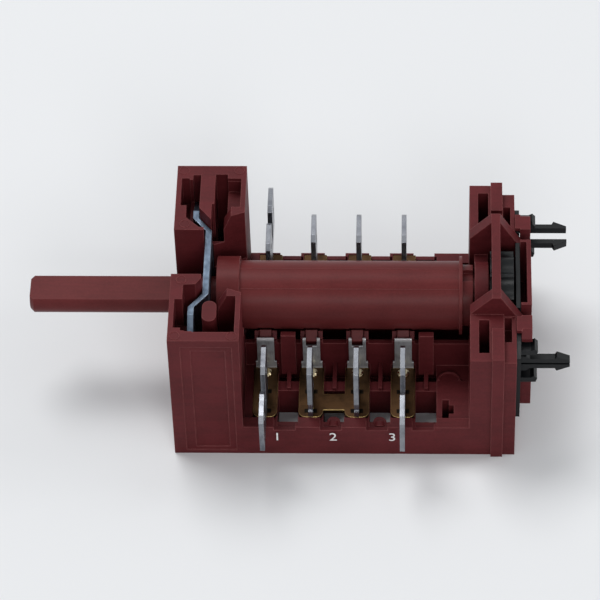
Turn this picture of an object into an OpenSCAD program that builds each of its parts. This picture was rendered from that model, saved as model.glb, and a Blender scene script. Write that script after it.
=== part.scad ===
// Rotary oven selector switch: a moulded channel housing with a cam drum,
// eight leaf contacts on plug-in terminals, a steel fixing strap and a rear detent.
// X runs along the drum from the panel face to the back, Y across, Z up.
// The origin is on the drum axis in the plane of the panel face.

/* [Housing] */
// Width of the housing across both terminal rows
body_w = 38.2; // [37:0.1:42]
// Height of the drum axis above the base
axis_h = 17.6; // [17:0.1:22]
// Height of the long side walls above the base
side_h = 6.7; // [6:0.1:7.6]
// Thickness of the long side walls
side_t = 2.1; // [1.8:0.1:2.6]
// Depth of the lips cut in the side walls over the floor windows
lip_drop = 1.1; // [0.6:0.1:1.6]

/* [Front block] */
// Height of the front block above the drum axis
front_rise = 10.4; // [9.6:0.1:13]
// Thickness of the front block's end walls
front_t = 0.8; // [0.7:0.1:1.2]
// Half width of the saddle over the knob shaft
saddle_half = 4.8; // [4.4:0.1:5.2]
// Depth of the bare recessed panel on each side of the front block
panel_depth = 0.4; // [0.2:0.1:0.6]

/* [Panel fixing] */
// Distance between the two panel screws
screw_pitch = 28; // [27:0.5:29]
// Radius of the screw clearance holes in the housing
screw_clear_r = 2.25; // [2.1:0.05:2.4]
// Core radius of the tapped holes in the strap
screw_core_r = 1.75; // [1.7:0.05:1.9]
// Thickness of the fixing strap
strap_t = 1; // [0.9:0.1:1.3]
// Width of the fixing strap, measured upwards
strap_w = 15.8; // [14:0.2:16.4]
// How far the middle of the strap is set back from its ends
strap_offset = 2.2; // [1.8:0.1:2.4]

/* [Knob shaft and drum] */
// Diameter of the knob shaft
shaft_d = 6; // [5.6:0.1:6.2]
// Length of the knob shaft in front of the panel face
shaft_out = 23.7; // [15:0.1:40]
// Height of the shaft's flat above the axis
flat_h = 1.6; // [1:0.1:2.2]
// Diameter of the cam drum
drum_d = 11.2; // [10.8:0.1:11.8]
// Diameter of the drum's collar
collar_d = 12.6; // [12.2:0.1:14]
// Diameter of the drum's rear journal
journal_d = 7; // [6:0.1:7.4]
// Radial running clearance of shaft and journal
run_gap = 0.06; // [0.03:0.01:0.09]
// Depth of the cam pockets in the drum
cam_depth = 0.9; // [0.8:0.05:1.2]

/* [Contacts] */
// Distance between contact stations
pitch = 7.5; // [7.2:0.1:9]
// Distance from the front block to the first station
first_gap = 3.4; // [3.3:0.1:4.5]
// Width of a terminal plate
plate_w = 4; // [3.8:0.1:4.2]
// Thickness of terminal plates
plate_t = 0.8; // [0.6:0.05:1]
// Width of a plug-in tab
tab_w = 6.3; // [4.8:0.1:6.3]
// Thickness of a plug-in tab
tab_t = 0.8; // [0.5:0.05:0.8]
// Height of a tab above its plate
tab_h = 11.95; // [10.5:0.05:14]
// Lean of the outer tabs away from the housing, in degrees
tab_lean = 5; // [0:1:10]
// Width of a contact leaf
leaf_w = 2.8; // [2.4:0.1:3]
// Thickness of a contact leaf
leaf_t = 0.3; // [0.2:0.05:0.35]
// Width of a pusher
pusher_w = 1.9; // [1.6:0.1:2.2]

/* [Rear block] */
// Length of the rear block along the drum
rear_l = 7.4; // [7.3:0.1:9]
// Height of the rear towers above the drum axis
rear_rise = 5.8; // [4.8:0.1:6]
// Height of the gable ridge above the drum axis
ridge_rise = 9.7; // [9.2:0.1:12]
// Distance of the gables from the drum axis
gable_y = 8.2; // [8.1:0.1:9]
// Half the thickness of the gable plates
gable_t = 1; // [0.8:0.1:1.3]

/* [Detent] */
// Number of positions in one turn
index_count = 12; // [8:1:14]
// Outer radius of the detent wheel
wheel_r = 7.2; // [6.8:0.1:7.4]
// Depth of the valleys of the detent wheel
valley = 0.8; // [0.6:0.05:0.9]
// Diameter of a detent plunger
plunger_d = 3.3; // [3:0.1:3.5]
// Wire diameter of a detent spring
wire_d = 0.4; // [0.3:0.05:0.5]

/* [Rear parts] */
// Thickness of the clip plate
clip_t = 0.7; // [0.6:0.1:1.2]
// Reach of the split clips behind the clip plate
clip_reach = 8; // [5:0.1:9]
// Thickness of the rear cover
cover_t = 1.7; // [1:0.1:2]

/* [Hidden] */
$fn = 64;
cut = 0.1;
seat_gap = 0.15;
fit_gap = 0.1;
stations = 4;

base_z = -axis_h;
wall_z = base_z + side_h;
plate_z = wall_z - plate_t;
foot_z = plate_z - leaf_t;
half_w = body_w / 2;
inner_y = half_w - side_t;
shaft_r = shaft_d / 2;
drum_r = drum_d / 2;
collar_r = collar_d / 2;
journal_r = journal_d / 2;

// Fixing strap and the drum's collar behind it set the length of the front block
strap_x = 2.8;
strap_half = screw_pitch / 2 + 2.9;
strap_bend = 6.9;
strap_slope = 2.8;
strap_mid_x = strap_x + strap_offset;
strap_back = strap_mid_x + strap_t;
strap_low = -strap_w / 2 - fit_gap;
saddle_z = -0.6;
pocket_y = strap_bend + strap_slope + 0.3;
collar_x = strap_back + 1;
drum_x = collar_x + 3.7;
front_l = drum_x + 0.7;
front_half = screw_pitch / 2 + 5.1;
rib_x = strap_x + strap_t + seat_gap;
rib_t = 2.4;

first_x = front_l + first_gap;
bay_end = first_x + 4 * pitch;
rear_x = bay_end + 3.3;
body_l = rear_x + rear_l;

// Drum lengths at the rear follow the rear block
drum_end = rear_x - 1.7;
flange_t = 0.5;
hub_x = drum_end + flange_t;
hub_end = rear_x + 0.5;
bearing_t = 2.2;
bearing_x = hub_end + 0.3;
wheel_x = bearing_x + bearing_t + 0.3;
wheel_l = body_l - wheel_x - 0.3;
wheel_mid = wheel_x + wheel_l / 2;

// Contact row, measured outwards from the drum axis
push_a = 45;
push_in = drum_r + 0.1;
push_half = 0.8;
leaf_y = drum_r + 0.4;
push_out = (leaf_y - 0.1) / cos(push_a) - push_half;
leaf_top = -3.8;
plate_y = leaf_y + leaf_t + 0.1;
rivet_y = plate_y + 1.2;
rivet_r = 0.65;
tab_y = inner_y - 2.6;
tab_z = wall_z + tab_h;
tab_bevel = 1.05;
tab_foot = 1.3;
shoulder_z = wall_z + 3.8;
bar_z = wall_z + 1.6;
double_y = tab_y - 1;
lug_places = [tab_y - 2.9, tab_y + 1.2];
outer_tab_y = half_w + 2.9;
lug_w = 1.15;
rail_y = 3.9;
rail_t = 0.9;
rail_z = -6.6;
trough_z = base_z + 2.4;
trench_y = plate_y + 2;
window_y = plate_y + 4;
window_w = pitch - plate_w - 0.1;

// Detent, measured outwards from the drum axis
plunger_y = wheel_r + 0.1;
plunger_l = 4.4;
spring_end = half_w - 1.8;
coil_r = plunger_d / 2 - 0.5;
coil_turns = 5;

post_x = rear_x + 3.5;
post_w = 1.9;
post_out = 0.5;
clip_x = body_l + 0.05;
cover_x = clip_x + clip_t + 0.1;
cover_end = cover_x + cover_t;
clip_y = 13.6;
clip_z = -0.5;
clip_width = 1.2;
clip_reach_in = 0.1;
stake_r = 0.9;
stake_y = 6;
stake_z = base_z + 7.5;

brown = [0.42, 0.12, 0.10];
brown_dark = [0.34, 0.09, 0.08];
brass = [0.72, 0.58, 0.28];
tin = [0.78, 0.79, 0.80];
zinc = [0.50, 0.53, 0.56];
black = [0.04, 0.04, 0.05];

function station_x(i) = first_x + i * pitch;

// Both sides of the housing share one drawing, made on the near side
module far_side() {
    mirror([0, 1, 0]) children();
}

module both_sides() {
    children();
    far_side() children();
}

// Block between two corners
module block(a, b) {
    translate(a) cube(b - a);
}

// Disc or rod along X
module rod_x(r, x0, x1) {
    translate([x0, 0, 0]) rotate([0, 90, 0]) cylinder(r = r, h = x1 - x0);
}

// Rod along Y on the near side, from y0 out to y1
module rod_y(r, y0, y1) {
    translate([0, -y0, 0]) rotate([90, 0, 0]) cylinder(r = r, h = y1 - y0);
}

// Outline in Y and Z given a thickness along X about its middle
module slab_x(x_mid, t) {
    translate([x_mid - t / 2, 0, 0]) rotate([90, 0, 90]) linear_extrude(t) children();
}

// Housing

// Solid base with side walls, end blocks and the plate seats
module bed() {
    block([front_l - cut, -half_w, base_z], [rear_x + cut, half_w, foot_z]);
    both_sides() {
        block([front_l - cut, -half_w, foot_z - cut], [rear_x + cut, -inner_y, wall_z]);
        plate_seats();
        guide_rail();
    }
}

// Raised seats that carry the plates between the floor windows
module plate_seats() {
    for (i = [0 : stations - 1])
        block(
            [station_x(i) - plate_w / 2, -inner_y - cut, foot_z - cut],
            [station_x(i) + plate_w / 2, -rail_y, plate_z]
        );
    // Empty last seat with a round inner end
    block(
        [bay_end - plate_w / 2, -inner_y - cut, foot_z - cut],
        [rear_x + cut, -trench_y, plate_z]
    );
    translate([bay_end, -trench_y, foot_z - cut])
        cylinder(r = plate_w / 2, h = plate_z - foot_z + cut);
}

// Long rail below the drum, with a slotted guide for each pusher
module guide_rail() {
    block(
        [front_l - cut, -rail_y - rail_t, foot_z - cut],
        [rear_x + cut, -rail_y, rail_z]
    );
    for (i = [0 : stations - 1]) pusher_guide(station_x(i));
    for (i = [0.5, 3.5]) guide_post(first_x + i * pitch);
}

module pusher_guide(x) {
    cheek = 0.7;
    slot = pusher_w / 2 + seat_gap;
    low = -push_half - seat_gap;
    translate([x, 0, 0]) rotate([push_a, 0, 0]) difference() {
        block([-slot - cheek, -push_out + 0.3, low - 0.6], [slot + cheek, -push_in - 0.2, 0]);
        block([-slot, -push_out - cut, low], [slot, -push_in + cut, 0.5]);
    }
    block(
        [x - slot - cheek, -rail_y - rail_t, rail_z - cut],
        [x + slot + cheek, -rail_y + 0.5, rail_z + 0.6]
    );
}

// Post between two stations that steadies the drum's side
module guide_post(x) {
    block([x - 1.2, -leaf_y - 0.9, foot_z - cut], [x + 1.2, -drum_r - 0.3, -2.4]);
    block([x - 1.2, -leaf_y - 0.9, foot_z - cut], [x + 1.2, -rail_y, rail_z - 0.4]);
}

// Openings in the floor between the plates, and the lips cut in the wall above them
module floor_windows() {
    for (i = [0.5 : 1 : stations - 0.5]) {
        x = first_x + i * pitch;
        block(
            [x - window_w / 2, -inner_y, base_z - cut],
            [x + window_w / 2, -window_y, foot_z + cut]
        );
        block(
            [x - window_w / 2, -trench_y, trough_z],
            [x + window_w / 2, -rail_y - rail_t, foot_z + cut]
        );
        block(
            [x - window_w / 2, -half_w + 0.8, wall_z - lip_drop],
            [x + window_w / 2, -inner_y + cut, wall_z + cut]
        );
    }
    // Slot for the bent tag in the empty last bay
    block(
        [bay_end - 1.1, -inner_y + 0.5, base_z - cut],
        [bay_end, -inner_y + 4.5, plate_z + cut]
    );
    block(
        [bay_end - cut, -inner_y + 1.6, base_z - cut],
        [bay_end + 0.8, -inner_y + 3.4, plate_z + cut]
    );
}

// Seats for the leaf feet, rivets, tab lugs and tab bars
module terminal_cuts() {
    for (i = [0 : stations - 1]) {
        x = station_x(i);
        block(
            [x - leaf_w / 2 - fit_gap, -rivet_y - 1.3, foot_z],
            [x + leaf_w / 2 + fit_gap, -rail_y - rail_t - 0.3, plate_z + cut]
        );
        translate([x, -rivet_y, foot_z - 0.6])
            cylinder(r = rivet_r + fit_gap, h = 1);
    }
}

// Round-topped stops at the inner edge of the wall
module wall_bumps() {
    for (i = [1.5, 2.5])
        if (i < stations)
            translate([first_x + i * pitch, -inner_y + 0.01, wall_z - lip_drop - 0.7])
                rotate([90, 0, 0]) cylinder(r = 1.1, h = side_t / 2);
}

// Front block

module front_shell() {
    block([0, -front_half, base_z], [front_l, front_half, front_rise]);
}

// Strap seen from above, grown by a gap all round for its slot
function strap_points(gap) =
    let (
        x0 = strap_x - gap, x1 = strap_mid_x - gap, t = strap_t + 2 * gap,
        b = strap_bend, s = strap_bend + strap_slope, e = strap_half + gap
    )
    [
        [x0, -e], [x0 + t, -e], [x0 + t, -s], [x1 + t, -b],
        [x1 + t, b], [x0 + t, s], [x0 + t, e], [x0, e],
        [x0, s], [x1, b], [x1, -b], [x0, -s]
    ];

// Slot open at the top that holds the strap
module strap_slot() {
    translate([0, 0, strap_low]) linear_extrude(front_rise - strap_low + cut)
        polygon(strap_points(seat_gap));
}

// Narrow pocket in front of the strap in each half
module front_pocket() {
    block(
        [front_t, -strap_half + 0.6, 4],
        [strap_x - 0.7, -10.2, front_rise + cut]
    );
}

// Deep pocket in the near half, from the strap to the rear wall
module near_pocket() {
    block(
        [rib_x - cut, -strap_half - 0.3, strap_low],
        [front_l - front_t, -pocket_y, front_rise + cut]
    );
}

// Pocket in the far half between the broad rib and the lower corner boss
module far_pocket() {
    back = rib_x + rib_t + 2;
    block(
        [rib_x + rib_t, pocket_y, strap_low],
        [back, strap_half + 0.3, front_rise + cut]
    );
    block(
        [back - cut, pocket_y, front_rise - 0.7],
        [front_l - front_t, strap_half - 0.6, front_rise + cut]
    );
    block(
        [back - cut, pocket_y, front_rise - 3],
        [front_l - front_t, pocket_y + 0.9, front_rise + cut]
    );
}

// Round-ended rib that stands behind the strap in the near half
module knuckle() {
    x = rib_x + 2.5;
    y = screw_pitch / 2 - 1.5;
    r = 1.15;
    low = strap_low - cut;
    high = front_rise - 0.3;
    block([x - r, -y - 1, low], [x + r, -y + 1, high]);
    for (s = [-1, 1])
        translate([x, -y + s, low]) cylinder(r = r, h = high - low);
}

// Gap over the shaft, narrow between the front cheeks and flared over the collar
module saddle() {
    wide = collar_r + 0.4;
    translate([0, 0, saddle_z]) linear_extrude(front_rise + cut)
        polygon([
            [-cut, -saddle_half], [strap_back, -saddle_half], [strap_back, -wide],
            [front_l + cut, -wide - 2], [front_l + cut, wide + 2],
            [strap_back, wide], [strap_back, saddle_half], [-cut, saddle_half]
        ]);
}

// Room for the collar behind the strap
module collar_room() {
    wide = collar_r + 0.4;
    rod_x(wide, strap_back, front_l + cut);
    block([strap_back, -wide, 0], [front_l + cut, wide, front_rise + cut]);
}

// Bare panel in the outer face of each half, sunk in two steps
module side_panel() {
    block(
        [2, -front_half - cut, base_z + 0.8],
        [front_l - 1.2, -front_half + panel_depth / 2, front_rise - 1.6]
    );
    block(
        [3.6, -front_half - cut, base_z + 1.5],
        [front_l - 2.3, -front_half + panel_depth, front_rise - 2.7]
    );
}

module screw_holes(r, x0, x1) {
    for (s = [-1, 1])
        translate([0, s * screw_pitch / 2, 0]) rod_x(r, x0, x1);
}

// Rear block

module rear_towers() {
    block([rear_x, -half_w, base_z], [body_l, half_w, -drum_r]);
    both_sides() {
        block([rear_x, -half_w, base_z], [post_x + post_w, -gable_y, rear_rise]);
        block([post_x, -half_w, base_z], [body_l, -gable_y, rear_rise - 0.5]);
        tower_post();
        gable();
    }
    block([bearing_x, -gable_y - cut, base_z], [bearing_x + bearing_t, gable_y + cut, 2]);
    rod_x(journal_r + 2, bearing_x, bearing_x + bearing_t);
    ridge();
}

// Upright rib on the outer face and along the top of a tower
module tower_post() {
    block([post_x, -half_w - post_out, base_z], [post_x + post_w, -half_w + 1, rear_rise + 0.8]);
    block(
        [post_x, -half_w - post_out, rear_rise - 1],
        [post_x + post_w, -half_w + 6.3, rear_rise + 0.8]
    );
}

// Sloped plate that carries the ridge and reaches back beside the cover
module gable() {
    top = post_x + 0.7;
    translate([0, -gable_y + gable_t, 0]) rotate([90, 0, 0]) linear_extrude(gable_t * 2)
        polygon([
            [rear_x, -drum_r - 1], [rear_x, rear_rise], [top - 0.7, ridge_rise],
            [top + 0.7, ridge_rise], [cover_end, 1], [cover_end, 0.2],
            [body_l, -1.2], [body_l, -drum_r - 1]
        ]);
}

// Bar that joins the two gables over the bearing
module ridge() {
    top = post_x + 0.7;
    block(
        [top - 0.7, -gable_y, ridge_rise - 1.6],
        [top + 0.7, gable_y, ridge_rise]
    );
}

// Slots seen from above in each tower
module tower_slots() {
    block(
        [rear_x + 1.4, -half_w + 1.7, -2.8],
        [post_x - 0.4, -gable_y - gable_t - 1.2, rear_rise + cut]
    );
    block(
        [post_x + post_w + 0.1, -half_w + 4.4, plunger_d / 2 + 0.5],
        [body_l - 0.7, -gable_y - gable_t - 0.3, rear_rise + cut]
    );
}

// Channel for a detent plunger and its spring, open at the back
module detent_channel() {
    reach = plunger_d / 2 + seat_gap;
    block(
        [wheel_mid - reach, -spring_end - fit_gap, -reach],
        [wheel_mid + reach, -wheel_r + 1, reach]
    );
    block(
        [wheel_mid, -spring_end + 2.5, -1.1],
        [body_l + cut, -wheel_r + 1, 1.1]
    );
}

module housing() {
    color(brown) difference() {
        union() {
            difference() {
                union() {
                    bed();
                    front_shell();
                }
                both_sides() {
                    floor_windows();
                    terminal_cuts();
                    front_pocket();
                    side_panel();
                }
                near_pocket();
                far_pocket();
                block(
                    [front_l, -rail_y, trough_z],
                    [rear_x, rail_y, rail_z + cut]
                );
                strap_slot();
                collar_room();
                saddle();
            }
            both_sides() wall_bumps();
            knuckle();
            rear_towers();
        }
        both_sides() {
            tower_slots();
            detent_channel();
        }
        rod_x(shaft_r + run_gap, -cut, strap_back);
        rod_x(journal_r + run_gap, rear_x - cut, wheel_x + cut);
        rod_x(drum_r + 0.9, rear_x - cut, bearing_x);
        block(
            [rear_x - cut, -drum_r - 0.9, 0],
            [bearing_x, drum_r + 0.9, ridge_rise - 2]
        );
        rod_x(wheel_r + 0.4, bearing_x + bearing_t, body_l + cut);
        screw_holes(screw_clear_r, -cut, front_l - front_t - 0.4);
    }
    color(brown) stakes(body_l - cut, cover_x + cover_t + 0.3);
}

// Pins that pass through the clip plate and the rear cover
module stakes(x0, x1) {
    for (s = [-1, 1])
        translate([0, s * stake_y, stake_z]) rod_x(stake_r, x0, x1);
}

// Moving drum

module cam_drum() {
    color(brown_dark) difference() {
        union() {
            difference() {
                rod_x(shaft_r, -shaft_out, collar_x + cut);
                block(
                    [-shaft_out - cut, -shaft_r - cut, flat_h],
                    [-0.4, shaft_r + cut, shaft_r + cut]
                );
                shaft_chamfer();
            }
            rod_x(collar_r, collar_x, drum_x);
            rod_x(drum_r, drum_x - cut, drum_end + cut);
            rod_x(drum_r + 0.8, drum_end, hub_x);
            rod_x(drum_r - 0.6, hub_x - cut, hub_end);
            rod_x(journal_r, hub_end - cut, wheel_x + wheel_l);
        }
        for (i = [0 : stations - 1]) {
            cam_pocket(i, 180 + push_a);
            cam_pocket(i, 360 - push_a);
        }
        // Notch in the hub beside the flange
        block([hub_x, -1.2, drum_r - 1.6], [hub_end + cut, 1.2, drum_r + cut]);
    }
}

// Bevel round the free end of the shaft
module shaft_chamfer() {
    bevel = 0.6;
    translate([-shaft_out, 0, 0]) rotate([0, 90, 0]) difference() {
        translate([0, 0, -cut]) cylinder(r = shaft_r + 1, h = bevel + cut);
        cylinder(r1 = shaft_r - bevel, r2 = shaft_r, h = bevel);
    }
}

// Pocket that one pusher drops into, centred on an angle round the drum
module cam_pocket(i, angle) {
    half_arc = 16;
    translate([station_x(i), 0, 0]) rotate([angle, 0, 0]) rotate([0, 90, 0])
        rotate([0, 0, 90 - half_arc])
            rotate_extrude(angle = 2 * half_arc, $fn = 96)
                translate([drum_r - cam_depth, -pusher_w / 2 - 0.4])
                    square([cam_depth + 1, pusher_w + 0.8]);
}

module pusher(i) {
    color(brown) translate([station_x(i), 0, 0]) rotate([push_a, 0, 0])
        block([-pusher_w / 2, -push_out, -push_half], [pusher_w / 2, -push_in, push_half]);
}

// Terminals

// Brass plate with a rounded outer end, lug slots and the rivet hole
module plate_blank(i) {
    x = station_x(i);
    r = plate_w / 2;
    length = inner_y - plate_y - 0.1;
    translate([x, -plate_y - length, plate_z]) difference() {
        union() {
            translate([-r, 1.2, 0]) cube([plate_w, length - 1.2, plate_t]);
            translate([-r + 1.2, 0, 0]) cube([plate_w - 2.4, 2, plate_t]);
            for (s = [-1, 1])
                translate([s * (r - 1.2), 1.2, 0]) cylinder(r = 1.2, h = plate_t);
        }
        translate([0, length + plate_y - rivet_y, -cut])
            cylinder(r = rivet_r + 0.02, h = plate_t + 2 * cut);
        for (y = lug_places)
            translate([-tab_t / 2 - 0.05, length + plate_y - y - lug_w / 2 - 0.05, -cut])
                cube([tab_t + 0.1, lug_w + 0.1, plate_t + 2 * cut]);
    }
}

module plate(i) {
    color(brass) plate_blank(i);
}

// Two plates joined by a bridge
module bridged_plates(i, j) {
    bridge_w = 3.4;
    mid = tab_y - 0.7;
    color(brass) {
        plate_blank(i);
        plate_blank(j);
        block(
            [station_x(i) + plate_w / 2 - cut, -mid - bridge_w / 2, plate_z],
            [station_x(j) - plate_w / 2 + cut, -mid + bridge_w / 2, wall_z]
        );
    }
}

// Outline of one blade about its own middle, with beveled top corners and its catch hole
module blade(low, tip) {
    w = tab_w / 2;
    drop = tab_bevel * 0.65;
    difference() {
        polygon([
            [-w, low], [w, low], [w, tip - drop], [w - tab_bevel, tip],
            [-w + tab_bevel, tip], [-w, tip - drop]
        ]);
        translate([0, tip - 3.4]) circle(r = 0.8, $fn = 32);
    }
}

// Foot that stands on the plate, with two lugs through it and a neck above
module tab_root() {
    inner = lug_places[0] - lug_w / 2;
    outer = inner_y - 0.1;
    translate([-outer, wall_z]) square([outer - inner, tab_foot]);
    translate([-tab_y - 2.2, wall_z]) square([4.4, shoulder_z - wall_z + 0.1]);
    for (y = lug_places)
        translate([-y - lug_w / 2, plate_z]) square([lug_w, plate_t + cut]);
}

module tab(i) {
    color(tin) slab_x(station_x(i), tab_t) {
        tab_root();
        translate([-tab_y, 0]) blade(shoulder_z, tab_z);
    }
}

// Two blades on one bar that reaches out over the side wall
module double_tab(i) {
    color(tin) slab_x(station_x(i), tab_t) {
        tab_root();
        translate([-outer_tab_y - 1.6, bar_z])
            square([outer_tab_y - double_y + 1.6, shoulder_z - bar_z]);
        translate([-double_y, 0]) blade(bar_z, tab_z - 1.1);
        translate([-outer_tab_y, bar_z]) rotate(tab_lean)
            translate([0, -bar_z]) blade(bar_z, tab_z - 2);
    }
}

// Spring leaf: a foot under the plate and an upright with a wider root
module leaf(i, forked = false) {
    x = station_x(i);
    root = leaf_w / 2 + 0.3;
    color(tin) difference() {
        union() {
            block(
                [x - leaf_w / 2, -rivet_y - 1.2, foot_z],
                [x + leaf_w / 2, -leaf_y, plate_z]
            );
            block(
                [x - leaf_w / 2, -leaf_y - leaf_t, foot_z],
                [x + leaf_w / 2, -leaf_y, leaf_top]
            );
            block(
                [x - root, -leaf_y - leaf_t, plate_z + 0.1],
                [x + root, -leaf_y, plate_z + 2.2]
            );
        }
        if (forked)
            block(
                [x - leaf_w / 2 + 0.5, -leaf_y - leaf_t - cut, leaf_top - 1.8],
                [x + leaf_w / 2 - 0.5, -leaf_y + cut, leaf_top + cut]
            );
    }
}

// One rivet for each terminal: a shank with a domed head above the plate
module contact_rivets() {
    color(brass) both_sides() for (i = [0 : stations - 1])
        translate([station_x(i), -rivet_y, 0]) {
            translate([0, 0, plate_z + 0.01]) cylinder(r = rivet_r, h = plate_t);
            translate([0, 0, wall_z]) cylinder(r = rivet_r + 0.3, h = 0.25);
            translate([0, 0, wall_z + 0.24]) cylinder(r1 = rivet_r + 0.3, r2 = rivet_r, h = 0.25);
        }
}

// Fixing strap, set back in the middle, with two tapped holes and one for the shaft
module fixing_strap() {
    color(zinc) difference() {
        translate([0, 0, -strap_w / 2]) linear_extrude(strap_w) polygon(strap_points(0));
        rod_x(shaft_r + 0.4, -cut, strap_back + cut);
        screw_holes(screw_core_r, -cut, strap_x + strap_t + cut);
        both_sides() {
            strap_corner();
            mirror([0, 0, 1]) strap_corner();
        }
    }
}

// Wedge that slopes an upper corner of the strap
module strap_corner() {
    out = strap_half + cut;
    slab_x(strap_x + strap_t / 2, strap_t + 1)
        polygon([
            [-strap_bend - 4.3, strap_w / 2 + cut], [-out, strap_w / 4],
            [-out, strap_w / 2 + cut]
        ]);
}

// Detent

// Wheel with one valley for each switch position, pinned to the journal
module detent_wheel() {
    valley_r = 2.4;
    color(black) difference() {
        rod_x(wheel_r, wheel_x, wheel_x + wheel_l);
        rod_x(journal_r + 0.02, wheel_x - cut, wheel_x + wheel_l + cut);
        for (k = [0 : index_count - 1])
            rotate([k * 360 / index_count, 0, 0])
                translate([0, -wheel_r - valley_r + valley, 0])
                    rod_x(valley_r, wheel_x - cut, wheel_x + wheel_l + cut);
    }
}

// Plunger with a rounded nose and a spigot inside its spring
module detent_plunger() {
    r = plunger_d / 2;
    nose = 0.7;
    color(tin) translate([wheel_mid, 0, 0]) {
        rod_y(r, plunger_y + nose, plunger_y + plunger_l);
        translate([0, -plunger_y - nose - cut, 0]) rotate([-90, 0, 0])
            cylinder(r1 = r, r2 = r - nose, h = nose + cut);
        rod_y(coil_r - wire_d / 2 - 0.1, plunger_y + 2, plunger_y + plunger_l + 1.2);
    }
}

// Closed sweep of a round section along a list of points
module wire(path, r, sides = 8) {
    n = len(path);
    rings = [for (i = [0 : n - 1]) ring(path, i, r, sides)];
    points = [for (ring_points = rings) for (p = ring_points) p];
    walls = [
        for (i = [0 : n - 2]) for (j = [0 : sides - 1])
            let (a = i * sides + j, b = i * sides + (j + 1) % sides)
                [a, a + sides, b + sides, b]
    ];
    start = [for (j = [0 : sides - 1]) j];
    finish = [for (j = [sides - 1 : -1 : 0]) (n - 1) * sides + j];
    polyhedron(points, concat([start], walls, [finish]), convexity = 8);
}

function unit(v) = v / norm(v);

function ring(path, i, r, sides) =
    let (
        n = len(path),
        t = unit(path[min(i + 1, n - 1)] - path[max(i - 1, 0)]),
        u = unit(cross(t, [0, 1, 0])),
        v = cross(t, u)
    )
    [for (j = [0 : sides - 1]) path[i] + r * (cos(j * 360 / sides) * u + sin(j * 360 / sides) * v)];

// Compression spring between a plunger and the end of its channel
module detent_spring() {
    steps = 14;
    y0 = plunger_y + plunger_l + wire_d / 2 + 0.02;
    y1 = spring_end - wire_d / 2 - 0.02;
    count = coil_turns * steps;
    path = [
        for (k = [0 : count])
            let (turn = k * 360 / steps, share = k / count)
                [wheel_mid + coil_r * cos(turn), -y0 - (y1 - y0) * share, coil_r * sin(turn)]
    ];
    color(zinc) wire(path, wire_d / 2);
}

// Rear parts

// Plate in Y and Z with the corners cut off
module rear_outline(w, low, high, corner) {
    polygon([
        [-w, low + corner], [-w + corner, low], [w - corner, low], [w, low + corner],
        [w, high - corner], [w - corner, high], [-w + corner, high], [-w, high - corner]
    ]);
}

// Black plate with a split clip at each end
module clip_plate() {
    color(black) difference() {
        union() {
            slab_x(clip_x + clip_t / 2, clip_t)
                rear_outline(clip_y + 2.6, base_z + 4.2, rear_rise - 0.8, 2);
            clip(-clip_y, 0, 0.2);
            clip(clip_y, 90, 1.2);
            clip_ears(-clip_y);
            clip_ears(clip_y);
        }
        both_sides() {
            stake_hole(clip_x, clip_x + clip_t, stake_r + 0.1);
            gable_notch(clip_x, clip_x + clip_t, -1.4);
        }
    }
}

module stake_hole(x0, x1, r) {
    translate([0, -stake_y, stake_z]) rod_x(r, x0 - cut, x1 + cut);
}

// Notch through which a gable reaches back
module gable_notch(x0, x1, low) {
    reach = gable_t + seat_gap;
    block([x0 - cut, -gable_y - reach, low], [x1 + cut, -gable_y + reach, ridge_rise]);
}

// Two barbed halves, each half_gap away from the clip's own axis
module clip(y, turn, half_gap) {
    x0 = clip_x + clip_t - clip_reach_in;
    tip = x0 + clip_reach;
    arm = half_gap + 0.9;
    barb = half_gap + 1.5;
    translate([0, y, clip_z]) rotate([turn, 0, 0])
        for (s = [0, 180]) rotate([s, 0, 0]) translate([0, clip_width / 2, 0]) rotate([90, 0, 0])
            linear_extrude(clip_width)
                polygon([
                    [x0, half_gap], [x0, barb], [x0 + 1, barb], [x0 + 1.6, arm],
                    [tip - 2.4, arm], [tip - 2.1, barb], [tip, arm - 0.4], [tip, half_gap]
                ]);
}

// Small hooked ears above and below a clip
module clip_ears(y) {
    x0 = clip_x + clip_t - clip_reach_in;
    for (s = [-1, 1])
        translate([0, y, clip_z + s * 3.3]) rotate([90, 0, 0])
            translate([0, 0, -clip_width]) linear_extrude(clip_width * 2)
                polygon([
                    [x0, -0.5], [x0 + 2.6, -0.5], [x0 + 2.8, 0.3],
                    [x0 + 2.3, 0.9], [x0 + 1.7, 0.5], [x0, 0.5]
                ]);
}

// Cover behind the clip plate, cut away round the clips and open over the wheel
module rear_cover() {
    color(brown) difference() {
        union() {
            slab_x(cover_x + cover_t / 2, cover_t)
                rear_outline(clip_y - 0.2, base_z + 5, rear_rise, 1.2);
            both_sides() cover_lip();
        }
        block(
            [cover_x - cut, -gable_y + gable_t + 0.6, -4],
            [cover_end - 0.7, gable_y - gable_t - 0.6, rear_rise + cut]
        );
        for (y = [-clip_y, clip_y])
            block(
                [cover_x - cut, y - 3, clip_z - 4.4],
                [cover_end + cut, y + 3, clip_z + 4.4]
            );
        both_sides() {
            stake_hole(cover_x, cover_end, stake_r + 0.05);
            gable_notch(cover_x, cover_end, -1.2);
        }
    }
}

// Lip that reaches over the clip plate to the tower
module cover_lip() {
    block(
        [clip_x, -clip_y + 1, rear_rise - 0.7],
        [cover_x + cut, -gable_y - gable_t - 0.4, rear_rise]
    );
}

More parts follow.
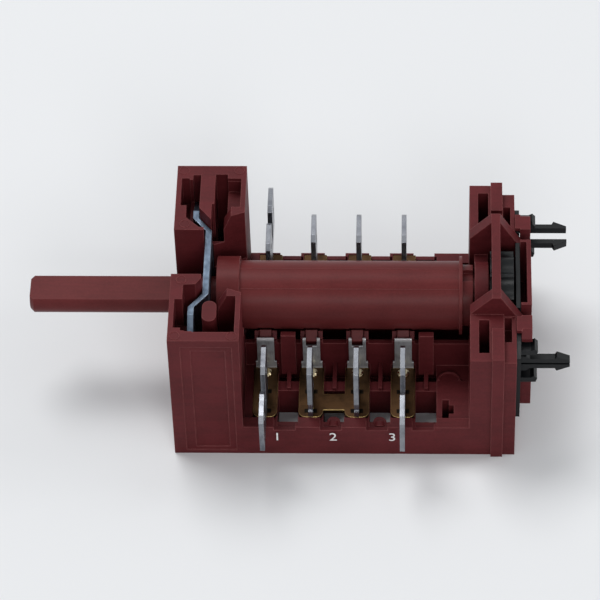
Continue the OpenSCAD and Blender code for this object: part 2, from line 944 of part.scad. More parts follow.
housing();
cam_drum();
fixing_strap();
detent_wheel();
plate(0);  // near_plate_1
bridged_plates(1, 2);  // near_plate_2_3
plate(3);  // near_plate_4
far_side() plate(0);  // far_plate_1
far_side() plate(1);  // far_plate_2
far_side() plate(2);  // far_plate_3
far_side() plate(3);  // far_plate_4
double_tab(0);  // near_tab_1
tab(1);  // near_tab_2
tab(2);  // near_tab_3
double_tab(3);  // near_tab_4
far_side() double_tab(0);  // far_tab_1
far_side() tab(1);  // far_tab_2
far_side() tab(2);  // far_tab_3
far_side() tab(3);  // far_tab_4
leaf(0);  // near_leaf_1
leaf(1, true);  // near_leaf_2
leaf(2, true);  // near_leaf_3
leaf(3);  // near_leaf_4
far_side() leaf(0);  // far_leaf_1
far_side() leaf(1, true);  // far_leaf_2
far_side() leaf(2, true);  // far_leaf_3
far_side() leaf(3);  // far_leaf_4
pusher(0);  // near_pusher_1
pusher(1);  // near_pusher_2
pusher(2);  // near_pusher_3
pusher(3);  // near_pusher_4
far_side() pusher(0);  // far_pusher_1
far_side() pusher(1);  // far_pusher_2
far_side() pusher(2);  // far_pusher_3
far_side() pusher(3);  // far_pusher_4
contact_rivets();
detent_plunger();  // near_detent_plunger
far_side() detent_plunger();  // far_detent_plunger
detent_spring();  // near_detent_spring
far_side() detent_spring();  // far_detent_spring
clip_plate();
rear_cover();
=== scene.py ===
import math

import bpy
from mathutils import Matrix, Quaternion, Vector


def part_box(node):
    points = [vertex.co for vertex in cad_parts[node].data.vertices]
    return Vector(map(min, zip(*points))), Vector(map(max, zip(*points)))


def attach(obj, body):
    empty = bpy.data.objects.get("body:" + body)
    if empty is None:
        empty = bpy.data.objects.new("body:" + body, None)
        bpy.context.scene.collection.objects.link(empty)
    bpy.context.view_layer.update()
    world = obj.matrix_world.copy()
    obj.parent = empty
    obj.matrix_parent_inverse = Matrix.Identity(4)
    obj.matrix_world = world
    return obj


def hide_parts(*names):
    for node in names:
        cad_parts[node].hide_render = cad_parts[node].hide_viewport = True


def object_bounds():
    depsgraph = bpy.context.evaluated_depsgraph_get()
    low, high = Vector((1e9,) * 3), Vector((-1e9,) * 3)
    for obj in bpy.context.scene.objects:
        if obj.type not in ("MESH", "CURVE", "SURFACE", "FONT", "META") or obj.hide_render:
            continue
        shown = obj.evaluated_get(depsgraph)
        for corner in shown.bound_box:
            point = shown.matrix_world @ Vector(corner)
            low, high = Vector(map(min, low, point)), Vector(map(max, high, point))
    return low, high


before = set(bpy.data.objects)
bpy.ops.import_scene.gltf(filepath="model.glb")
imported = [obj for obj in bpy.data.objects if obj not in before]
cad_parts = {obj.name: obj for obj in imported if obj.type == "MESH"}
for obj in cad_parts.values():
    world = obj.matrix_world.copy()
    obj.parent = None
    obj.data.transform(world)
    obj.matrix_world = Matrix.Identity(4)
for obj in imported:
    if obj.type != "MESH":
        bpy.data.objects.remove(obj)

cad_low, cad_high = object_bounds()

# Sizes are in metres, X along the drum from the panel face, Y across, Z up.
MM = 0.001
SWITCH_BODY = "switch_body"
DRUM_BODY = "drum"
SIDES = {"near": -1, "far": 1}

# Places of the contact row
PITCH = 7.5 * MM
FIRST_STATION = 14.8 * MM
STATIONS = 4
LUG_PLACES = (11.5 * MM, 15.6 * MM)
LUG_SLOT = (1.9 * MM, 0.8 * MM)

# Camera at the photograph's angle
IMAGE_WIDTH_PX = 600
FOCAL_LENGTH_PX = 3751
SENSOR_WIDTH_MM = 36
CAMERA_DISTANCE = 0.6144
CAMERA_ELEVATION = math.radians(48.48)
CAMERA_YAW = math.radians(3.02)
CAMERA_ROLL = math.radians(-2.05)
CAMERA_NEAR = 0.01
CAMERA_FAR = 20
LOOK_AT = Vector((20.37 * MM, 0, -1.31 * MM))


def place_camera():
    back = Vector((
        math.sin(CAMERA_YAW) * math.cos(CAMERA_ELEVATION),
        -math.cos(CAMERA_YAW) * math.cos(CAMERA_ELEVATION),
        math.sin(CAMERA_ELEVATION),
    ))
    lens = bpy.data.cameras.new("photo_camera")
    lens.sensor_width = SENSOR_WIDTH_MM
    lens.lens = FOCAL_LENGTH_PX / IMAGE_WIDTH_PX * SENSOR_WIDTH_MM
    lens.clip_start = CAMERA_NEAR
    lens.clip_end = CAMERA_FAR
    camera = bpy.data.objects.new("photo_camera", lens)
    camera.location = LOOK_AT + back * CAMERA_DISTANCE
    camera.rotation_mode = "QUATERNION"
    roll = Quaternion((0, 0, 1), CAMERA_ROLL)
    camera.rotation_quaternion = (-back).to_track_quat("-Z", "Y") @ roll
    bpy.context.scene.collection.objects.link(camera)
    bpy.context.scene.camera = camera


class Value:
    """A number or colour that varies over a surface, written as an expression."""

    def __init__(self, finish, socket):
        self.finish = finish
        self.socket = socket

    def __add__(self, other):
        return self.finish.maths("ADD", self, other)

    __radd__ = __add__

    def __sub__(self, other):
        return self.finish.maths("SUBTRACT", self, other)

    def __rsub__(self, other):
        return self.finish.maths("SUBTRACT", other, self)

    def __mul__(self, other):
        return self.finish.maths("MULTIPLY", self, other)

    __rmul__ = __mul__

    def __abs__(self):
        return self.finish.maths("ABSOLUTE", self, 0)

    def above(self, low, high):
        """0 below low, 1 above high and a soft step between them."""
        return self.finish.node(
            "MapRange",
            {"interpolation_type": "SMOOTHSTEP"},
            {"Value": self, "From Min": low, "From Max": high},
        )


# Samples of a rounded edge, and how far its normal turns where the painted edge highlight
# begins and is full
EDGE_SAMPLES = 6
EDGE_TURN = (0.01, 0.16)


class Finish:
    """One material, with what stays the same on the shader and what varies in nodes."""

    def __init__(self, name, **constants):
        self.material = bpy.data.materials.new(name)
        self.material.use_nodes = True
        self.tree = self.material.node_tree
        self.shader = self.tree.nodes["Principled BSDF"]
        for socket, constant in constants.items():
            self.shader.inputs[socket.replace("_", " ")].default_value = constant
        self.place = self.node("TexCoord", output="Object")

    def node(self, kind, settings=None, inputs=None, output=0):
        made = self.tree.nodes.new("ShaderNode" + kind)
        for setting, choice in (settings or {}).items():
            setattr(made, setting, choice)
        for socket, value in (inputs or {}).items():
            self.feed(made.inputs[socket], value)
        return Value(self, made.outputs[output])

    def feed(self, socket, value):
        if isinstance(value, Value):
            self.tree.links.new(value.socket, socket)
        else:
            socket.default_value = value

    def set(self, **varying):
        for socket, value in varying.items():
            self.feed(self.shader.inputs[socket.replace("_", " ")], value)

    def maths(self, operation, first, second):
        return self.node("Math", {"operation": operation}, {0: first, 1: second})

    def mix(self, first, second, share):
        colours = {0: share, 6: first, 7: second}
        return self.node("Mix", {"data_type": "RGBA"}, colours, output=2)

    def part(self, axis):
        """One coordinate of the place on the surface, in metres."""
        return self.node("SeparateXYZ", {}, {"Vector": self.place}, output=axis)

    def near(self, distance, reach):
        """1 where a distance is under reach, with a soft rim."""
        return 1 - distance.above(reach, reach * 1.15)

    def stretched(self, along):
        """Coordinates divided by how much longer a pattern is along each axis."""
        scale = tuple(1 / length for length in along)
        return self.node("Mapping", {}, {"Vector": self.place, "Scale": scale})

    def noise(self, size, detail=2.0, place=None):
        """Soft noise whose lumps are about size across, from 0 to 1."""
        inputs = {"Vector": place or self.place, "Scale": 1 / size, "Detail": detail}
        return self.node("TexNoise", {}, inputs)

    def bump(self, height, depth, strength, normal):
        """Relief of a depth in metres on top of a normal."""
        inputs = {"Height": height, "Distance": depth, "Strength": strength, "Normal": normal}
        return self.node("Bump", {}, inputs)

    def rounded(self, radius):
        """The surface's normal with its edges rounded off."""
        return self.node("Bevel", {"samples": EDGE_SAMPLES}, {"Radius": radius})

    def edges(self, rounded):
        """1 on the edges that rounded softens, 0 on flat surfaces."""
        normals = {0: rounded, 1: self.node("NewGeometry", output="Normal")}
        agreement = self.node("VectorMath", {"operation": "DOT_PRODUCT"}, normals, "Value")
        return (1 - agreement).above(*EDGE_TURN)


def moulded(name, deep, light, edge, roughness, grain):
    """Red-brown moulded plastic with cloudy colour, a fine grain and a patchy painted highlight
    along the edges.
    """
    finish = Finish(name, Specular_IOR_Level=0.12)
    rounded = finish.rounded(0.22 * MM)
    clouds = finish.noise(7 * MM, 3)
    speckle = finish.noise(0.35 * MM, 2)
    flow = finish.noise(0.8 * MM, 2, finish.stretched((9, 1, 1)))
    # Painted highlight along the rounded edges, patchy with noise; it also roughens them a
    # little.
    patchy_edge_highlight = finish.edges(rounded) * (0.6 + finish.noise(1.1 * MM, 3).above(0.35, 0.7) * 0.4)
    shade = (clouds * 0.55 + speckle * 0.3 + flow * 0.3).above(0.3, 0.85)
    colour = finish.mix(deep, light, shade)
    colour = finish.mix(colour, edge, patchy_edge_highlight * 0.9)
    height = finish.noise(0.12 * MM, 2) * grain + flow * 0.3
    finish.set(
        Base_Color=colour,
        Roughness=roughness + (flow - 0.5) * 0.16 + patchy_edge_highlight * 0.08,
        Normal=finish.bump(height, 0.012 * MM, 0.5, rounded),
    )
    return finish.material


def rolled_metal(name, bright, dull, edge, roughness, grain_along, corner=0.1 * MM, metal=1.0):
    """Rolled strip with a grain along one axis, clouds of tarnish and a painted highlight along
    the edges.
    """
    finish = Finish(name, Metallic=metal)
    rounded = finish.rounded(corner)
    grain = finish.noise(0.12 * MM, 3, finish.stretched(grain_along))
    clouds = finish.noise(2.2 * MM, 4)
    tarnish = (clouds * 0.8 + grain * 0.3).above(0.45, 0.8)
    # Painted highlight: the edge colour is laid along the rounded edges, which also lose their
    # tarnish and turn glossier.
    metal_edge_highlight = finish.edges(rounded)
    colour = finish.mix(bright, dull, tarnish * (1 - metal_edge_highlight * 0.7))
    colour = finish.mix(colour, edge, metal_edge_highlight * 0.8)
    finish.set(
        Base_Color=colour,
        Roughness=roughness + tarnish * 0.14 + (grain - 0.5) * 0.12 - metal_edge_highlight * 0.06,
        Normal=finish.bump(grain, 0.006 * MM, 0.5, rounded),
    )
    return finish, colour


# Painted shade where the tab lugs are staked through the terminal plates
PAINTED_SLOT_SHADE = (0.006, 0.005, 0.004, 1)


def terminal_brass(along):
    """Dull olive brass, with painted shade where the tab lugs are staked through it."""
    finish, colour = rolled_metal(
        "terminal_brass",
        bright=(0.064, 0.034, 0.016, 1),
        dull=(0.027, 0.015, 0.008, 1),
        edge=(0.70, 0.50, 0.20, 1),
        roughness=0.36,
        grain_along=along,
        corner=0.16 * MM,
    )
    from_station = finish.maths("PINGPONG", finish.part("X") - FIRST_STATION, PITCH / 2)
    across = abs(finish.part("Y"))
    # Painted shade beside each tab, where the lug stakes sit.
    slot_shade_mask = 0
    for lug in LUG_PLACES:
        slot_shade_mask = slot_shade_mask + finish.near(abs(across - lug), LUG_SLOT[1] / 2)
    slot_shade_mask = slot_shade_mask * finish.near(from_station, LUG_SLOT[0] / 2)
    finish.set(Base_Color=finish.mix(colour, PAINTED_SLOT_SHADE, slot_shade_mask))
    return finish.material


# Heights between which a painted highlight comes in on a leaf, at its foot and at its top
LEAF_FOOT_Z = (-10.9 * MM, -10.4 * MM)
LEAF_TOP_Z = (-4.6 * MM, -4.0 * MM)
PAINTED_HIGHLIGHT_SILVER = (0.90, 0.91, 0.93, 1)


def silvered_leaf(along):
    """Silvered strip, dull along its middle, with painted highlight bands at its foot and top
    edge.
    """
    finish, colour = rolled_metal(
        "silvered_leaf",
        bright=(0.41, 0.43, 0.46, 1),
        dull=(0.19, 0.19, 0.20, 1),
        edge=(0.88, 0.88, 0.88, 1),
        roughness=0.38,
        grain_along=along,
        metal=0.6,
    )
    # Painted highlight bands at the foot and along the top edge of the leaf.
    height = finish.part("Z")
    highlight_bands = (1 - height.above(*LEAF_FOOT_Z)) + height.above(*LEAF_TOP_Z)
    finish.set(Base_Color=finish.mix(colour, PAINTED_HIGHLIGHT_SILVER, highlight_bands * 0.8))
    return finish.material


def zinc_plated():
    """Blue-grey zinc with a faint crystal pattern, darker rubbed patches and a painted
    highlight along the edges.
    """
    finish = Finish("zinc_plate", Metallic=1.0)
    rounded = finish.rounded(0.16 * MM)
    crystals = {"Vector": finish.place, "Scale": 1 / (0.9 * MM)}
    spangle = finish.node("TexVoronoi", {"feature": "F1"}, crystals, "Distance")
    grain = finish.noise(0.15 * MM, 3, finish.stretched((1, 8, 1)))
    clouds = finish.noise(2.5 * MM, 3)
    # Painted highlight along the rounded edges, in the edge colour.
    metal_edge_highlight = finish.edges(rounded)
    shade = (spangle * 0.35 + clouds * 0.7 + grain * 0.2).above(0.3, 0.95)
    light = (0.150, 0.192, 0.250, 1)
    dark = (0.060, 0.080, 0.112, 1)
    edge = (0.36, 0.41, 0.48, 1)
    finish.set(
        Base_Color=finish.mix(finish.mix(light, dark, shade), edge, metal_edge_highlight * 0.8),
        Roughness=0.33 + shade * 0.16,
        Normal=finish.bump(grain + spangle * 0.4, 0.008 * MM, 0.5, rounded),
    )
    return finish.material


def black_nylon():
    """Glossy black plastic with a faint orange-peel surface."""
    finish = Finish("black_nylon", Specular_IOR_Level=0.22)
    rounded = finish.rounded(0.1 * MM)
    ripple = finish.noise(0.7 * MM, 2)
    dust = finish.noise(0.25 * MM, 3).above(0.6, 0.85)
    clean = (0.005, 0.006, 0.007, 1)
    dusty = (0.020, 0.021, 0.023, 1)
    finish.set(
        Base_Color=finish.mix(clean, dusty, dust * 0.5),
        Roughness=0.27 + ripple * 0.14 + dust * 0.1,
        Normal=finish.bump(ripple, 0.02 * MM, 0.35, rounded),
    )
    return finish.material


def white_print():
    """Thin white marking ink, slightly patchy."""
    finish = Finish("white_print", Specular_IOR_Level=0.3)
    patches = finish.noise(0.3 * MM, 3).above(0.35, 0.75)
    thin = (0.72, 0.70, 0.69, 1)
    full = (0.86, 0.85, 0.84, 1)
    finish.set(
        Base_Color=finish.mix(thin, full, patches),
        Roughness=0.62 - patches * 0.12,
    )
    return finish.material


def make_finishes():
    along_z = (1, 1, 10)
    along_x = (10, 1, 1)
    # Each edge colour below is a painted highlight along the rounded edges.
    tinned, _ = rolled_metal(
        "tinned_tab",
        bright=(0.25, 0.26, 0.285, 1),
        dull=(0.115, 0.12, 0.14, 1),
        edge=(0.36, 0.37, 0.40, 1),
        roughness=0.28,
        grain_along=along_z,
    )
    rivet, _ = rolled_metal(
        "rivet_brass",
        bright=(0.78, 0.66, 0.42, 1),
        dull=(0.46, 0.34, 0.17, 1),
        edge=(0.92, 0.84, 0.66, 1),
        roughness=0.24,
        grain_along=along_x,
    )
    drawn, _ = rolled_metal(
        "spring_steel",
        bright=(0.42, 0.42, 0.44, 1),
        dull=(0.24, 0.24, 0.25, 1),
        edge=(0.62, 0.62, 0.64, 1),
        roughness=0.28,
        grain_along=along_z,
    )
    return {
        "housing": moulded(
            "red_brown_moulding",
            deep=(0.070, 0.0100, 0.0115, 1),
            light=(0.118, 0.0180, 0.0210, 1),
            edge=(0.300, 0.090, 0.088, 1),
            roughness=0.50,
            grain=0.9,
        ),
        "drum": moulded(
            "drum_moulding",
            deep=(0.088, 0.0140, 0.0145, 1),
            light=(0.132, 0.0225, 0.0230, 1),
            edge=(0.220, 0.060, 0.058, 1),
            roughness=0.38,
            grain=0.5,
        ),
        "leaf": silvered_leaf(along_z),
        "tab": tinned.material,
        "brass": terminal_brass(along_x),
        "rivet": rivet.material,
        "spring": drawn.material,
        "zinc": zinc_plated(),
        "black": black_nylon(),
        "ink": white_print(),
    }


FINISH_OF_NODE = {
    "housing": "housing",
    "rear_cover": "housing",
    "cam_drum": "drum",
    "fixing_strap": "zinc",
    "detent_wheel": "black",
    "clip_plate": "black",
    "contact_rivets": "rivet",
}
FINISH_OF_KIND = {
    "plate": "brass",
    "tab": "tab",
    "leaf": "leaf",
    "pusher": "drum",
    "detent": "spring",
}


def finish_of(node):
    if node in FINISH_OF_NODE:
        return FINISH_OF_NODE[node]
    kind = node.split("_")[1]
    return FINISH_OF_KIND[kind]


def dress(piece, material):
    piece.data.materials.clear()
    piece.data.materials.append(material)


def dress_nodes(finishes):
    for name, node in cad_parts.items():
        dress(node, finishes[finish_of(name)])


def finish_piece(piece, name, body, material):
    """Put the place into the mesh, turn its normals outward and let it ride."""
    bpy.ops.object.select_all(action="DESELECT")
    piece.select_set(True)
    bpy.context.view_layer.objects.active = piece
    bpy.ops.object.transform_apply(location=True, rotation=True, scale=True)
    bpy.ops.object.mode_set(mode="EDIT")
    bpy.ops.mesh.select_all(action="SELECT")
    bpy.ops.mesh.normals_make_consistent(inside=False)
    bpy.ops.object.mode_set(mode="OBJECT")
    piece.name = name
    dress(piece, material)
    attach(piece, body)


def bar_between(low, high, bevel):
    """Bar between two corners with all its edges bevelled."""
    low, high = Vector(low), Vector(high)
    bpy.ops.object.select_all(action="DESELECT")
    bpy.ops.mesh.primitive_cube_add(size=1, location=(low + high) / 2, scale=high - low)
    bpy.ops.object.transform_apply(location=False, rotation=False, scale=True)
    bpy.ops.object.mode_set(mode="EDIT")
    bpy.ops.mesh.select_all(action="SELECT")
    bpy.ops.mesh.bevel(offset=bevel, segments=2, affect="EDGES")
    bpy.ops.object.mode_set(mode="OBJECT")
    return bpy.context.object


def rectangle(x_low, y_low, x_high, y_high):
    return (x_low, y_low), (x_high, y_low), (x_high, y_high), (x_low, y_high)


# Openings cut into the housing. Each is an axis, an outline across it and a range
# along it, all in millimetres. An outline across Y gives X and Z.
OVER_TOP = 11.5
POCKET_FLOOR = -8.05
HOUSING_BASE = -18.0
SADDLE = (
    (-0.5, -4.83), (5.97, -4.83), (5.97, -6.73), (11.7, -8.83),
    (11.7, 8.83), (5.97, 6.73), (5.97, 4.83), (-0.5, 4.83),
)
FAR_STRAP_ROOM = (
    (1.8, 10.3), (1.8, 7.6), (4.1, 5.4), (5.2, 5.4),
    (5.2, 6.8), (2.9, 9.7), (2.9, 10.3),
)
NEAR_STRAP_ROOM = (
    (2.05, -10.4), (2.9, -10.4), (2.9, -9.6), (5.2, -6.8),
    (5.2, -5.6), (4.95, -5.6), (4.0, -7.0), (2.05, -7.1),
)
NEAR_ROOM_BEHIND = (
    (3.9, -10.2), (7.6, -10.2), (7.6, -6.0),
    (5.9, -6.0), (5.9, -7.0), (3.9, -9.6),
)
WALL_CHAMFER = ((7.3, 6.2), (9.2, 10.5), (9.2, 11.5), (7.3, 11.5))

STATION_X = tuple((FIRST_STATION + number * PITCH) / MM for number in range(STATIONS))
OVER_WALL = -10.0

# Ends of the far plates, and their seats in the far wall
PLATE_END_HALF = 1.9
PLATE_END_Y = (16.7, 18.75)
PLATE_END_Z = (-11.75, -10.95)
SEAT_HALF = PLATE_END_HALF + 0.05
SEAT_Y = (16.6, 18.8)

# Gaps in the top of both walls beside the floor windows
GAP_FROM_STATION = 3.3
GAP_HALF = 1.75
GAP_Y = (16.93, 19.3)
GAP_FLOOR = -11.66


def plate_seats():
    for x in STATION_X:
        outline = rectangle(x - SEAT_HALF, SEAT_Y[0], x + SEAT_HALF, SEAT_Y[1])
        yield "Z", outline, (PLATE_END_Z[0], OVER_WALL)


def wall_gaps():
    for x in STATION_X:
        middle = x + GAP_FROM_STATION
        for y_low, y_high in (GAP_Y, (-GAP_Y[1], -GAP_Y[0])):
            outline = rectangle(middle - GAP_HALF, y_low, middle + GAP_HALF, y_high)
            yield "Z", outline, (GAP_FLOOR, OVER_WALL)


BLOCK_CUTS = {
    "saddle over the knob shaft": ("Z", SADDLE, (-0.63, OVER_TOP)),
    "far room round the strap": ("Z", FAR_STRAP_ROOM, (POCKET_FLOOR, OVER_TOP)),
    "far slot for the strap": ("Z", rectangle(2.0, 10.2, 2.75, 16.0), (5.0, OVER_TOP)),
    "far deep pocket": ("Z", rectangle(5.95, 7.6, 7.9, 10.6), (POCKET_FLOOR, OVER_TOP)),
    "far shallow pocket": ("Z", rectangle(5.95, 5.6, 7.9, 7.7), (4.6, OVER_TOP)),
    "far rear pocket": ("Z", rectangle(8.2, 9.9, 10.55, 16.25), (7.2, OVER_TOP)),
    "far wall chamfer": ("Y", WALL_CHAMFER, (6.0, 10.3)),
    "near room round the strap": ("Z", NEAR_STRAP_ROOM, (POCKET_FLOOR, OVER_TOP)),
    "near slot for the strap": ("Z", rectangle(2.0, -16.9, 2.75, -10.3), (4.0, OVER_TOP)),
    "near room behind": ("Z", NEAR_ROOM_BEHIND, (POCKET_FLOOR, OVER_TOP)),
    "near rear pocket": ("Z", rectangle(7.5, -10.2, 10.55, -9.5), (POCKET_FLOOR, OVER_TOP)),
    "near wall chamfer": ("Y", WALL_CHAMFER, (-10.3, -6.0)),
    "side of the far post": ("Z", rectangle(51.2, 19.08, 53.9, 20.6), (HOUSING_BASE, OVER_TOP)),
    "top of the far post": ("Z", rectangle(51.2, 17.0, 53.9, 20.6), (9.63, OVER_TOP)),
    "step of the far post": ("Z", rectangle(53.53, 17.5, 55.9, 19.6), (2.0, OVER_TOP)),
}
MERGE_DISTANCE = 0.001 * MM
SMOOTH_BELOW = math.radians(25)


def cutter(axis, outline, along):
    """Closed prism over an outline, upright or along Y."""
    bpy.ops.object.select_all(action="DESELECT")
    bpy.ops.mesh.primitive_circle_add(vertices=len(outline), radius=1, fill_type="NGON")
    prism = bpy.context.object
    low, high = along
    for corner, (across, up) in zip(prism.data.vertices, outline):
        place = (across, up, low) if axis == "Z" else (across, low, up)
        corner.co = Vector(place) * MM
    push = Vector((0, 0, high - low) if axis == "Z" else (0, high - low, 0)) * MM
    bpy.ops.object.mode_set(mode="EDIT")
    bpy.ops.mesh.select_all(action="SELECT")
    bpy.ops.mesh.extrude_region_move(TRANSFORM_OT_translate={"value": push})
    bpy.ops.mesh.select_all(action="SELECT")
    bpy.ops.mesh.normals_make_consistent(inside=False)
    bpy.ops.object.mode_set(mode="OBJECT")
    return prism


def open_housing(finishes):
    """Copy of the housing with its openings cut, shown in the housing's place."""
    bpy.ops.object.select_all(action="DESELECT")
    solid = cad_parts["housing"]
    solid.select_set(True)
    bpy.context.view_layer.objects.active = solid
    bpy.ops.object.duplicate()
    opened = bpy.context.object
    bpy.ops.mesh.customdata_custom_splitnormals_clear()
    bpy.ops.object.mode_set(mode="EDIT")
    bpy.ops.mesh.select_all(action="SELECT")
    bpy.ops.mesh.remove_doubles(threshold=MERGE_DISTANCE)
    bpy.ops.object.mode_set(mode="OBJECT")
    for axis, outline, along in (*plate_seats(), *wall_gaps(), *BLOCK_CUTS.values()):
        prism = cutter(axis, outline, along)
        bpy.context.view_layer.objects.active = opened
        cut = opened.modifiers.new("cut", "BOOLEAN")
        cut.operation = "DIFFERENCE"
        cut.solver = "EXACT"
        cut.object = prism
        bpy.ops.object.modifier_apply(modifier=cut.name)
        bpy.data.objects.remove(prism)
    bpy.ops.object.select_all(action="DESELECT")
    opened.select_set(True)
    bpy.context.view_layer.objects.active = opened
    bpy.ops.object.shade_smooth_by_angle(angle=SMOOTH_BELOW)
    opened.name = "opened_housing"
    dress(opened, finishes["housing"])
    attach(opened, SWITCH_BODY)
    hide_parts("housing")


PLATE_END_EDGE = 0.08 * MM


def lay_plate_ends(finishes):
    for number, x in enumerate(STATION_X, 1):
        low = Vector((x - PLATE_END_HALF, PLATE_END_Y[0], PLATE_END_Z[0])) * MM
        high = Vector((x + PLATE_END_HALF, PLATE_END_Y[1], PLATE_END_Z[1])) * MM
        end = bar_between(low, high, PLATE_END_EDGE)
        name = f"far_plate_end_{number}"
        finish_piece(end, name, SWITCH_BODY, finishes["brass"])


# Half-round stops on the inside of each wall, at gaps counted in pitches
STOP_GAPS = (1.5, 2.5)
STOP_EDGE = 0.12 * MM
STOP_FACETS = 40
STOP_RADIUS = 1.1 * MM
STOP_Z = (-17.5 * MM, -11.9 * MM)
WALL_INSIDE = 17.0 * MM


def set_wall_stops(finishes):
    for side, sign in SIDES.items():
        for number, gap in enumerate(STOP_GAPS, 1):
            bpy.ops.object.select_all(action="DESELECT")
            bpy.ops.mesh.primitive_cylinder_add(
                vertices=STOP_FACETS, radius=STOP_RADIUS, depth=STOP_Z[1] - STOP_Z[0],
                location=(FIRST_STATION + gap * PITCH, sign * WALL_INSIDE, sum(STOP_Z) / 2),
            )
            stop = bpy.context.object
            bevel = stop.modifiers.new("edge", "BEVEL")
            bevel.width = STOP_EDGE
            bevel.segments = 2
            bevel.limit_method = "ANGLE"
            bpy.ops.object.modifier_apply(modifier=bevel.name)
            name = f"{side}_wall_stop_{number}"
            finish_piece(stop, name, SWITCH_BODY, finishes["housing"])


# Thin ribs that cross the trench between the plates
RIB_THICK = 0.7 * MM
RIB_Y = (4.7 * MM, 10.3 * MM)
RIB_Z = (-15.3 * MM, -11.35 * MM)
RIB_EDGE = 0.12 * MM


def stand_ribs(finishes):
    for side, sign in SIDES.items():
        for gap in range(STATIONS):
            x = FIRST_STATION + (gap + 0.5) * PITCH
            y_low, y_high = sorted(sign * y for y in RIB_Y)
            low = (x - RIB_THICK / 2, y_low, RIB_Z[0])
            high = (x + RIB_THICK / 2, y_high, RIB_Z[1])
            rib = bar_between(low, high, RIB_EDGE)
            name = f"{side}_floor_rib_{gap + 1}"
            finish_piece(rib, name, SWITCH_BODY, finishes["housing"])


# Raised rim round the inner end of the empty seat
BOSS_CENTRE = (44.8 * MM, 8.4 * MM, -11.7 * MM)
BOSS_RADIUS = 1.75 * MM
BOSS_BEAD = 0.24 * MM
RING_FACETS = 48
BEAD_FACETS = 8


def ring(centre, radius, bead):
    bpy.ops.object.select_all(action="DESELECT")
    bpy.ops.mesh.primitive_torus_add(
        major_segments=RING_FACETS, minor_segments=BEAD_FACETS,
        major_radius=radius, minor_radius=bead, location=centre,
    )
    return bpy.context.object


def rim_bosses(finishes):
    for side, sign in SIDES.items():
        centre = Vector((BOSS_CENTRE[0], sign * BOSS_CENTRE[1], BOSS_CENTRE[2]))
        rim = ring(centre, BOSS_RADIUS, BOSS_BEAD)
        bpy.ops.object.mode_set(mode="EDIT")
        bpy.ops.mesh.select_all(action="SELECT")
        bpy.ops.mesh.bisect(
            plane_co=centre, plane_no=(0, sign, 0), use_fill=True, clear_outer=True
        )
        bpy.ops.object.mode_set(mode="OBJECT")
        name = f"{side}_boss_rim"
        finish_piece(rim, name, SWITCH_BODY, finishes["housing"])


# Rings that the ejector pins left on top of the front block, at X and Y in millimetres
EJECTOR_RADIUS = 0.8 * MM
EJECTOR_BEAD = 0.09 * MM
EJECTOR_PLACES = (
    (1.15, 18.0), (10.2, 18.05), (1.7, 6.1),
    (1.7, -6.1), (1.15, -18.0), (10.2, -18.05),
)


def mark_ejectors(finishes):
    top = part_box("housing")[1].z
    for number, (x, y) in enumerate(EJECTOR_PLACES, 1):
        mark = ring((x * MM, y * MM, top), EJECTOR_RADIUS, EJECTOR_BEAD)
        name = f"ejector_ring_{number}"
        finish_piece(mark, name, SWITCH_BODY, finishes["housing"])


# Fine parting lines along the drum, at degrees from +Y towards +Z
DRUM_RADIUS = 5.6 * MM
PARTING_X = (10.8 * MM, 46.3 * MM)
PARTING_WIDTH = 0.14 * MM
PARTING_SUNK = 0.1 * MM
PARTING_PROUD = 0.025 * MM
PARTING_EDGE = 0.02 * MM
PARTING_ANGLES = (83, 122, 263, 302)
UPRIGHT = 90


def line_drum(finishes):
    for number, degrees in enumerate(PARTING_ANGLES, 1):
        low = (PARTING_X[0], -PARTING_WIDTH / 2, DRUM_RADIUS - PARTING_SUNK)
        high = (PARTING_X[1], PARTING_WIDTH / 2, DRUM_RADIUS + PARTING_PROUD)
        line = bar_between(low, high, PARTING_EDGE)
        bpy.context.scene.cursor.location = (0, 0, 0)
        bpy.ops.object.origin_set(type="ORIGIN_CURSOR")
        line.rotation_euler = (math.radians(degrees - UPRIGHT), 0, 0)
        name = f"drum_parting_line_{number}"
        finish_piece(line, name, DRUM_BODY, finishes["drum"])


# White terminal numbers on the near side wall
NUMBER_HEIGHT = 1.9 * MM
HEIGHT_IN_TYPE_SIZE = 0.7
NUMBER_PROUD = 0.02 * MM
NUMBER_Z = -13.6 * MM
NUMBER_PLACES = {"1": 16.9 * MM, "2": 26.0 * MM, "3": 35.6 * MM}


def terminal_number(number, x, material):
    wall_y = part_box("housing")[0].y
    bpy.ops.object.select_all(action="DESELECT")
    place = (x, wall_y - NUMBER_PROUD, NUMBER_Z)
    bpy.ops.object.text_add(location=place, rotation=(math.pi / 2, 0, 0))
    piece = bpy.context.object
    piece.name = "terminal_number_" + number
    piece.data.body = number
    piece.data.size = NUMBER_HEIGHT / HEIGHT_IN_TYPE_SIZE
    piece.data.align_x = "CENTER"
    piece.data.extrude = NUMBER_PROUD
    bpy.ops.object.convert(target="MESH")
    piece = bpy.context.object
    bpy.ops.object.transform_apply(location=True, rotation=True, scale=True)
    dress(piece, material)
    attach(piece, SWITCH_BODY)


def print_numbers(finishes):
    for number, x in NUMBER_PLACES.items():
        terminal_number(number, x, finishes["ink"])


# Plain pale studio
FLOOR_HALF = 1.2
FLOOR_COLOUR = (0.80, 0.81, 0.82, 1)
BACKDROP_COLOUR = (0.90, 0.91, 0.92, 1)
STUDIO_COLOUR = (0.80, 0.82, 0.85, 1)
STUDIO_LEVEL = 0.46
SOFTBOXES = {
    "key_softbox": {"place": (-0.25, 0.30, 0.75), "size": (0.50, 0.35), "power": 3.9},
    "front_softbox": {"place": (0.15, -0.70, 0.45), "size": (0.45, 0.30), "power": 2.1},
    "side_softbox": {"place": (0.70, 0.10, 0.35), "size": (0.25, 0.40), "power": 1.2},
}


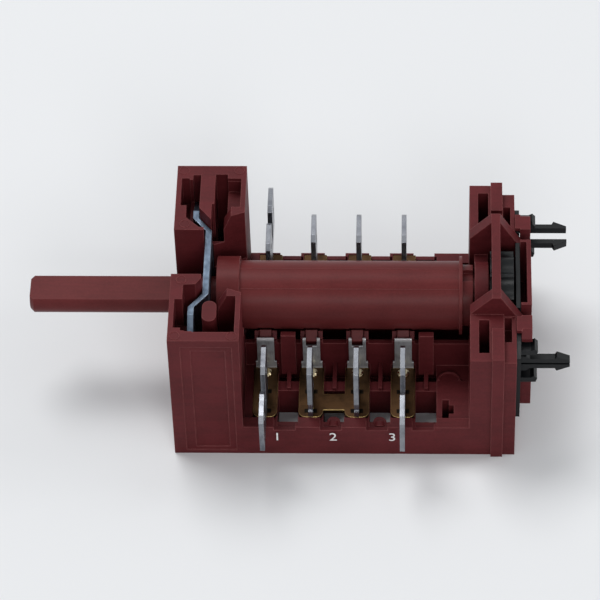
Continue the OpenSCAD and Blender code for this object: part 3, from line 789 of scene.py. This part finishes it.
def lay_floor():
    bpy.ops.object.select_all(action="DESELECT")
    bpy.ops.mesh.primitive_plane_add(size=2 * FLOOR_HALF, location=(0, 0, cad_low.z))
    floor = bpy.context.object
    floor.name = "studio_floor"
    finish = Finish("studio_floor", Roughness=0.9, Specular_IOR_Level=0.1)
    finish.set(Base_Color=FLOOR_COLOUR)
    dress(floor, finish.material)


def hang_lamp(name, place, size, power):
    light = bpy.data.lights.new(name, "AREA")
    light.shape = "RECTANGLE"
    light.size, light.size_y = size
    light.energy = power
    lamp = bpy.data.objects.new(name, light)
    lamp.location = place
    aim = LOOK_AT - Vector(place)
    lamp.rotation_mode = "QUATERNION"
    lamp.rotation_quaternion = aim.to_track_quat("-Z", "Y")
    bpy.context.scene.collection.objects.link(lamp)


def light_studio():
    for name, softbox in SOFTBOXES.items():
        hang_lamp(name, **softbox)
    world = bpy.data.worlds.new("studio")
    bpy.context.scene.world = world
    world.use_nodes = True
    tree = world.node_tree
    tree.nodes.clear()
    rays = tree.nodes.new("ShaderNodeLightPath")
    soft = tree.nodes.new("ShaderNodeBackground")
    soft.inputs["Color"].default_value = STUDIO_COLOUR
    soft.inputs["Strength"].default_value = STUDIO_LEVEL
    seen = tree.nodes.new("ShaderNodeBackground")
    seen.inputs["Color"].default_value = BACKDROP_COLOUR
    choose = tree.nodes.new("ShaderNodeMixShader")
    out = tree.nodes.new("ShaderNodeOutputWorld")
    shows_backdrop = rays.outputs["Is Camera Ray"]
    for ray in ("Is Glossy Ray", "Is Transmission Ray"):
        either = tree.nodes.new("ShaderNodeMath")
        either.operation = "MAXIMUM"
        tree.links.new(shows_backdrop, either.inputs[0])
        tree.links.new(rays.outputs[ray], either.inputs[1])
        shows_backdrop = either.outputs[0]
    tree.links.new(shows_backdrop, choose.inputs[0])
    tree.links.new(soft.outputs[0], choose.inputs[1])
    tree.links.new(seen.outputs[0], choose.inputs[2])
    tree.links.new(choose.outputs[0], out.inputs["Surface"])


place_camera()
finishes = make_finishes()
dress_nodes(finishes)
open_housing(finishes)
lay_plate_ends(finishes)
set_wall_stops(finishes)
stand_ribs(finishes)
rim_bosses(finishes)
mark_ejectors(finishes)
line_drum(finishes)
print_numbers(finishes)
lay_floor()
light_studio()
bpy.context.scene.view_settings.view_transform = "Standard"
